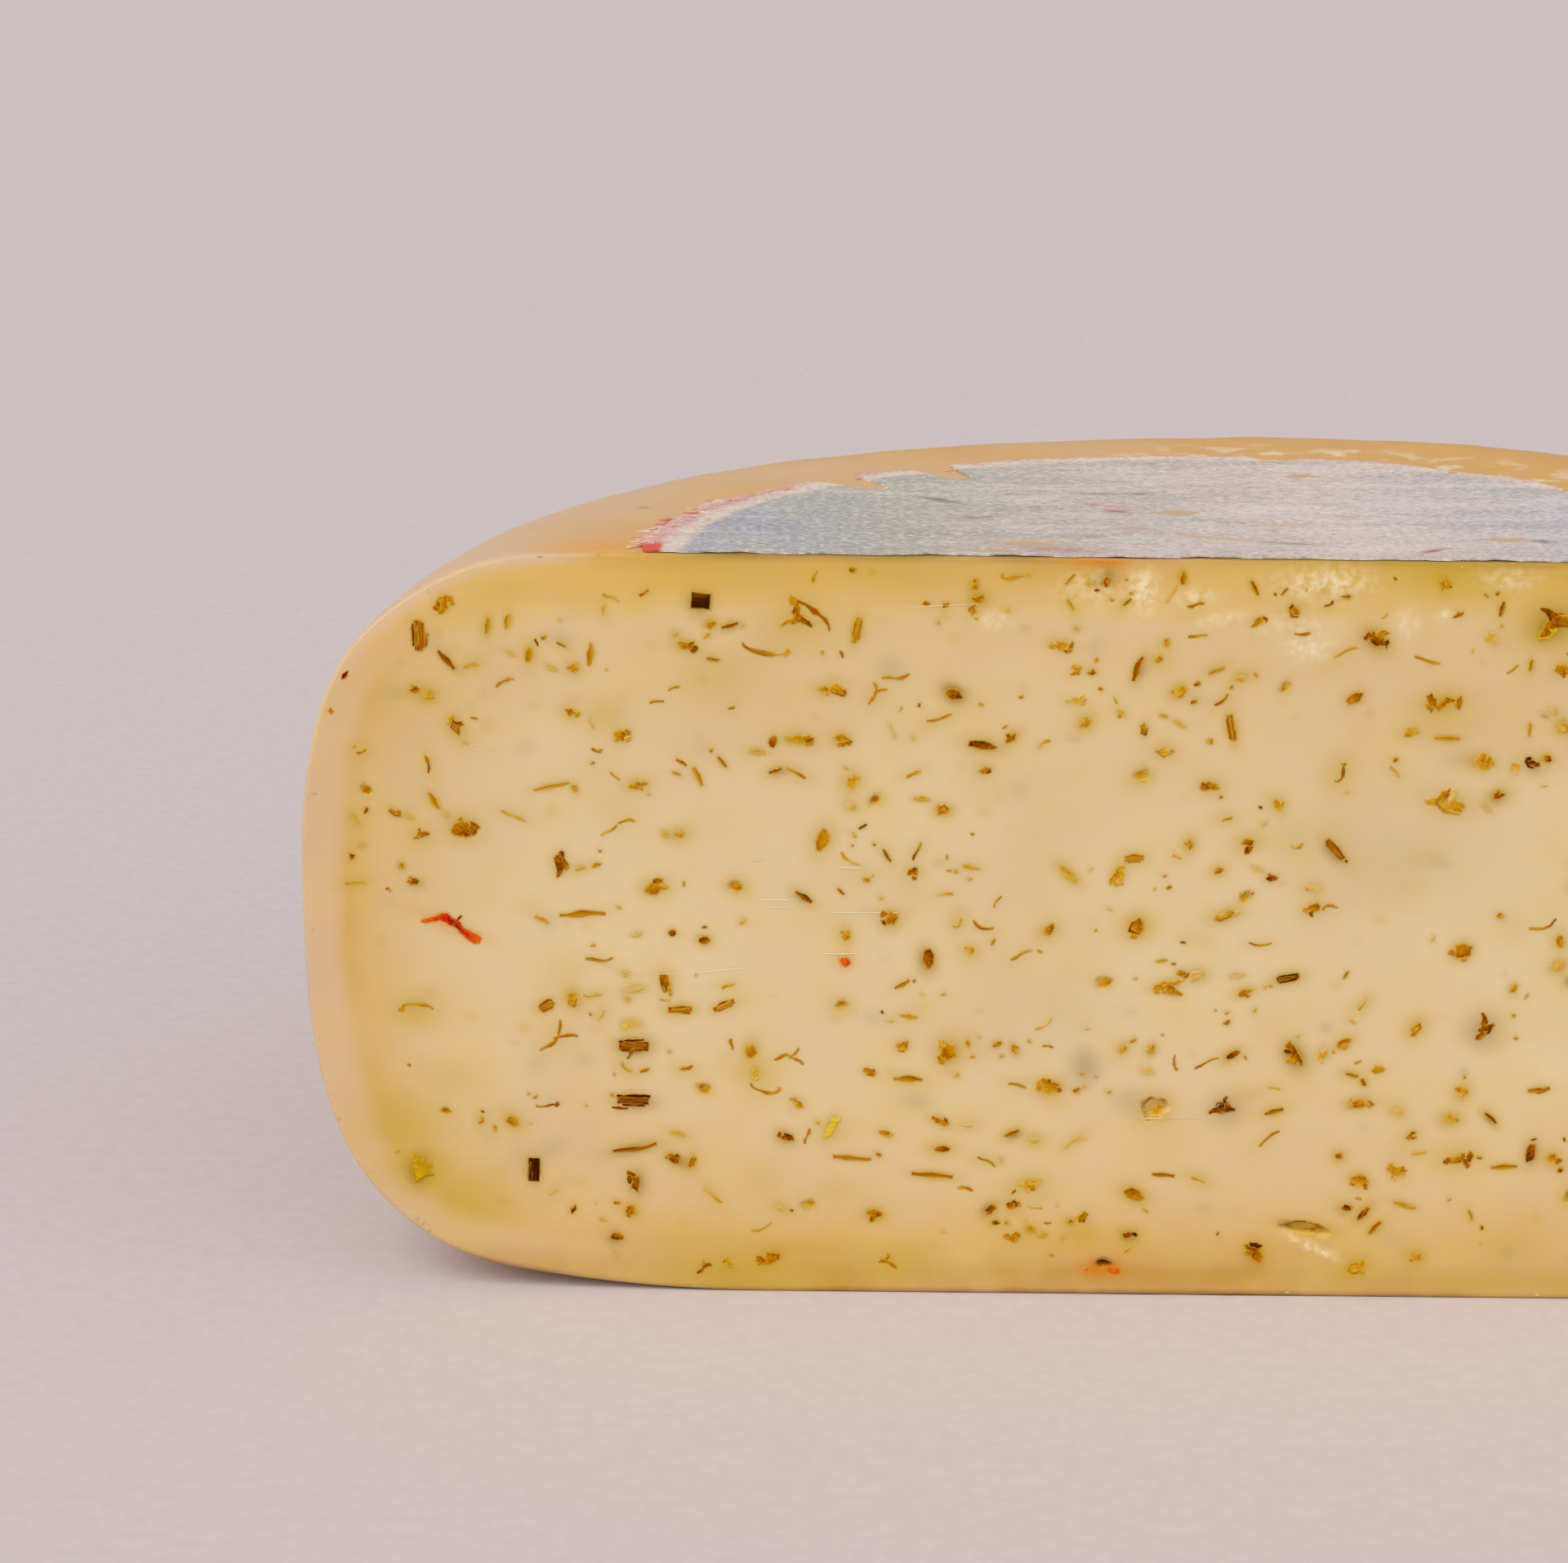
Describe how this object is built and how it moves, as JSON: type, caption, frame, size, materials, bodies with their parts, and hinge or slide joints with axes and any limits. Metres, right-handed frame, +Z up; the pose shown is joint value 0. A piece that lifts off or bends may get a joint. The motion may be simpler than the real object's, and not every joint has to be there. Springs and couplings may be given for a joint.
{
  "type": "half wheel of herb gouda cheese",
  "caption": "Half wheel of herb gouda with rounded shoulders, a flat cut face speckled with herbs and chilli, and the worn half of a round paper label on top",
  "frame": {"origin": "under the middle of the half wheel's box, on the surface it stands on", "axes": "+Z up, +X to the right along the cut face, +Y from the cut face into the cheese"},
  "size_m": [0.2329, 0.1162, 0.1011],
  "materials": {
    "cheese": "pale cream-yellow pressed curd with herb flakes, inside a satin orange-tan coated rind",
    "label_paper": "worn fibrous grey-blue paper with a faded red and cream ring at its edge"
  },
  "bodies": {
    "root": {"cheese": "cheese", "paper_label": "label_paper"}
  },
  "joints": []
}
